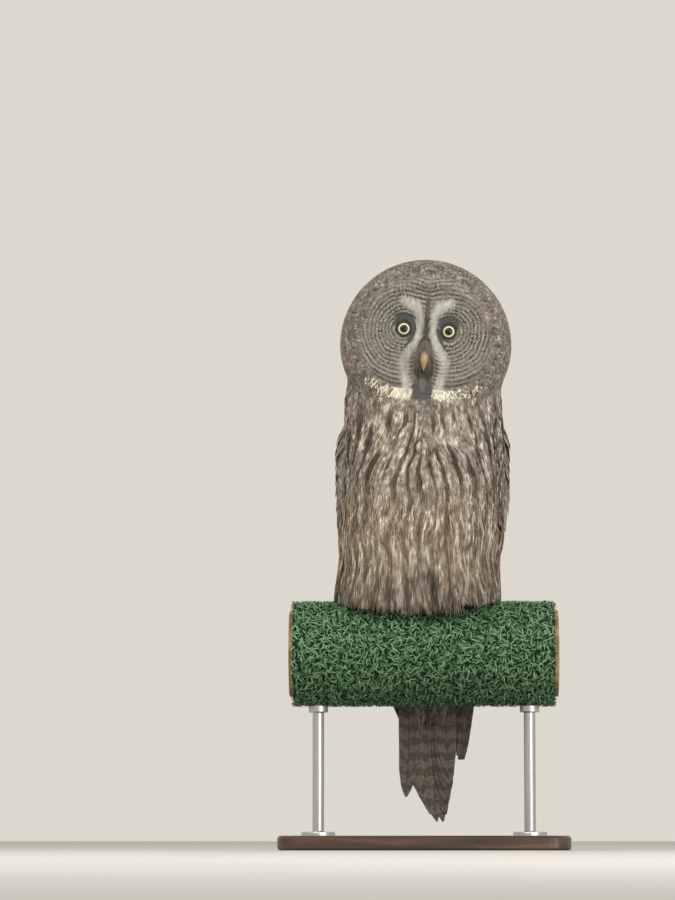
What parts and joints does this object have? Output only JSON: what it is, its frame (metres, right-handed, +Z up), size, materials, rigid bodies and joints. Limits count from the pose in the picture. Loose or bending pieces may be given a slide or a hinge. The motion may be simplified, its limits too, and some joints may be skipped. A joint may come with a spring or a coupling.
{
  "type": "great grey owl figure",
  "caption": "Life-size great grey owl sitting upright, wings folded, on a short turf-covered pole held by two rods on a flat base.",
  "frame": {"origin": "middle of the base's underside", "axes": "+Z up; the owl faces -Y; +X is the owl's left side, along the pole"},
  "size_m": [0.32, 0.25, 0.6606],
  "materials": {
    "head_plumage": "soft feathers, ringed grey disc",
    "body_plumage": "loose streaked feathers",
    "flight_plumage": "barred flight feathers",
    "leg_plumage": "short dense feathers",
    "eye": "wet and clear, yellow iris",
    "bill": "horn, satin",
    "claw": "dark horn",
    "perch_wood": "sawn ends",
    "turf": "short curled artificial turf",
    "stand_wood": "dark satin varnish",
    "stand_metal": "satin"
  },
  "bodies": {
    "root": {"head": "head_plumage", "neck": "body_plumage", "torso": "body_plumage", "left_eye": "eye", "right_eye": "eye", "bill_upper": "bill", "bill_lower": "bill", "left_wing": "flight_plumage", "right_wing": "flight_plumage", "tail": "flight_plumage", "left_leg": "leg_plumage", "right_leg": "leg_plumage", "left_foot": "leg_plumage", "right_foot": "leg_plumage", "left_claw_1": "claw", "left_claw_2": "claw", "left_claw_3": "claw", "left_claw_4": "claw", "right_claw_1": "claw", "right_claw_2": "claw", "right_claw_3": "claw", "right_claw_4": "claw", "perch_pole": "perch_wood", "perch_turf": "turf", "stand_base": "stand_wood", "stand_rod_left": "stand_metal", "stand_rod_right": "stand_metal"}
  },
  "joints": []
}
